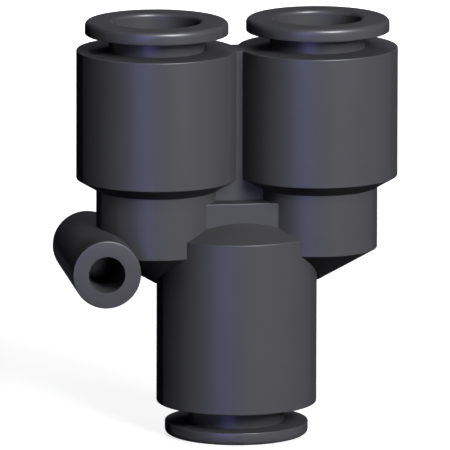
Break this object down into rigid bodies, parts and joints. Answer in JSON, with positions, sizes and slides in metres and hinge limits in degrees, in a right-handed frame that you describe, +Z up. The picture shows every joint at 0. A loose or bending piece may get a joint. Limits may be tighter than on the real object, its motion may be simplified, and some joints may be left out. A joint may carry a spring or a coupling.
{
  "type": "push-in tubing y connector",
  "caption": "Push-in Y fitting that joins one tube to two parallel tubes, with sliding release rings and a side sleeve for a mounting screw.",
  "frame": {"origin": "on the lower port's axis, at the free face of its release ring, which is the surface that the fitting stands on", "axes": "+Z up along the lower port's axis to the two upper ports, X from the left port to the right one, the mounting sleeve on the -X side, +Y along the mounting hole"},
  "size_m": [0.0394, 0.0196, 0.0492],
  "materials": {
    "body_plastic": "satin moulded dark charcoal",
    "ring_plastic": "satin moulded dark charcoal",
    "guide_plastic": "satin moulded dark charcoal",
    "spacer_plastic": "matt moulded",
    "steel": "rolled stainless strip",
    "rubber": "smooth moulded rubber"
  },
  "bodies": {
    "root": {"body": "body_plastic", "retaining_ring_left": "guide_plastic", "grip_ring_left": "steel", "spacer_ring_left": "spacer_plastic", "seal_ring_left": "rubber", "retaining_ring_right": "guide_plastic", "grip_ring_right": "steel", "spacer_ring_right": "spacer_plastic", "seal_ring_right": "rubber", "retaining_ring_lower": "guide_plastic", "grip_ring_lower": "steel", "spacer_ring_lower": "spacer_plastic", "seal_ring_lower": "rubber"},
    "release_left": {"release_ring_left": "ring_plastic"},
    "release_right": {"release_ring_right": "ring_plastic"},
    "release_lower": {"release_ring_lower": "ring_plastic"}
  },
  "joints": [
    {"name": "release_slide_left", "type": "slide", "parent": "root", "child": "release_left", "axis": [0, 0, -1], "range_m": [-0.0004, 0.0014], "stiffness_N_per_m": 3000, "deforming": ["grip_ring_left"]},
    {"name": "release_slide_right", "type": "slide", "parent": "root", "child": "release_right", "axis": [0, 0, -1], "range_m": [-0.0004, 0.0014], "stiffness_N_per_m": 3000, "deforming": ["grip_ring_right"]},
    {"name": "release_slide_lower", "type": "slide", "parent": "root", "child": "release_lower", "axis": [0, 0, 1], "range_m": [0, 0.0018], "stiffness_N_per_m": 3000, "springref_m": -0.0002, "deforming": ["grip_ring_lower"]}
  ]
}
